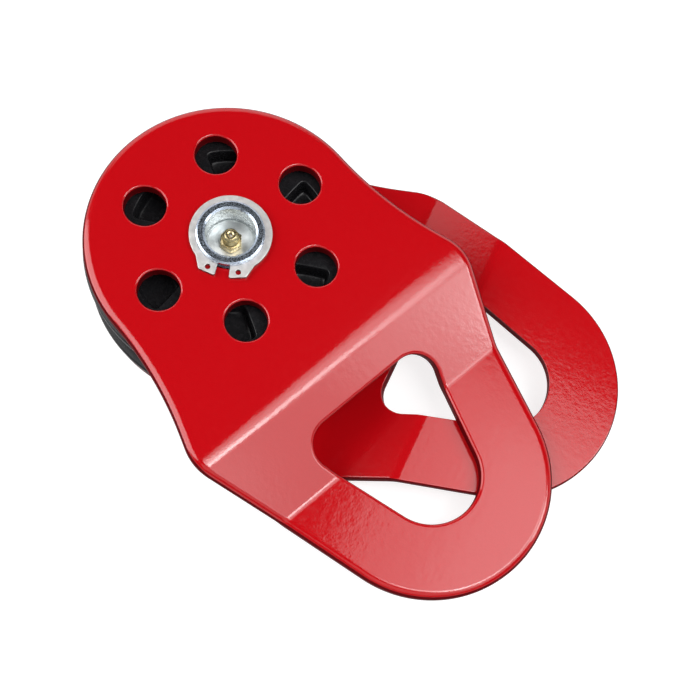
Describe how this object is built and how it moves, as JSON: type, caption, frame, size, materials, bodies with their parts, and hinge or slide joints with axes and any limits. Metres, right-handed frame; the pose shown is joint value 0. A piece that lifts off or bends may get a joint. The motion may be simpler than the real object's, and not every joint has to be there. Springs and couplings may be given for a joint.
{
  "type": "pulley block",
  "caption": "Winch pulley block: joggled red steel side plates that swing open on a greased axle, with a black ribbed sheave between them and a shackle eye in each bail.",
  "frame": {"origin": "where the axle's axis meets the lower plate's flat outer face, on the flush head of the axle", "axes": "+Z runs along the axle from the lower plate to the upper one, +X runs from the axle towards the lower plate's bail, and +Y completes a right-handed frame"},
  "size_m": [0.2103, 0.1545, 0.0385],
  "materials": {
    "red_powder_coat": "glossy red powder coat with a fine orange peel",
    "black_sheave_paint": "black semi-gloss paint over a cast surface",
    "zinc_plating": "bright zinc plating on turned steel",
    "spring_steel": "plain spring steel with a satin surface",
    "brass": "machined yellow brass",
    "bronze": "bearing bronze, greased"
  },
  "bodies": {
    "lower_plate_and_axle": {"lower_side_plate": "red_powder_coat", "axle_pin": "zinc_plating", "lower_thrust_washer": "zinc_plating", "upper_thrust_washer": "zinc_plating", "retaining_ring": "spring_steel", "grease_nipple": "brass", "nipple_ball": "spring_steel", "nipple_spring": "spring_steel"},
    "sheave_body": {"sheave": "black_sheave_paint", "sheave_bush": "bronze"},
    "upper_plate": {"upper_side_plate": "red_powder_coat"}
  },
  "joints": [
    {"name": "sheave_spin", "type": "hinge", "parent": "lower_plate_and_axle", "child": "sheave_body", "pos_m": [0, 0, 0.0175], "axis": [0, 0, 1], "continuous": true},
    {"name": "upper_plate_swing", "type": "hinge", "parent": "lower_plate_and_axle", "child": "upper_plate", "pos_m": [0, 0, 0.0325], "axis": [0, 0, 1], "continuous": true}
  ]
}
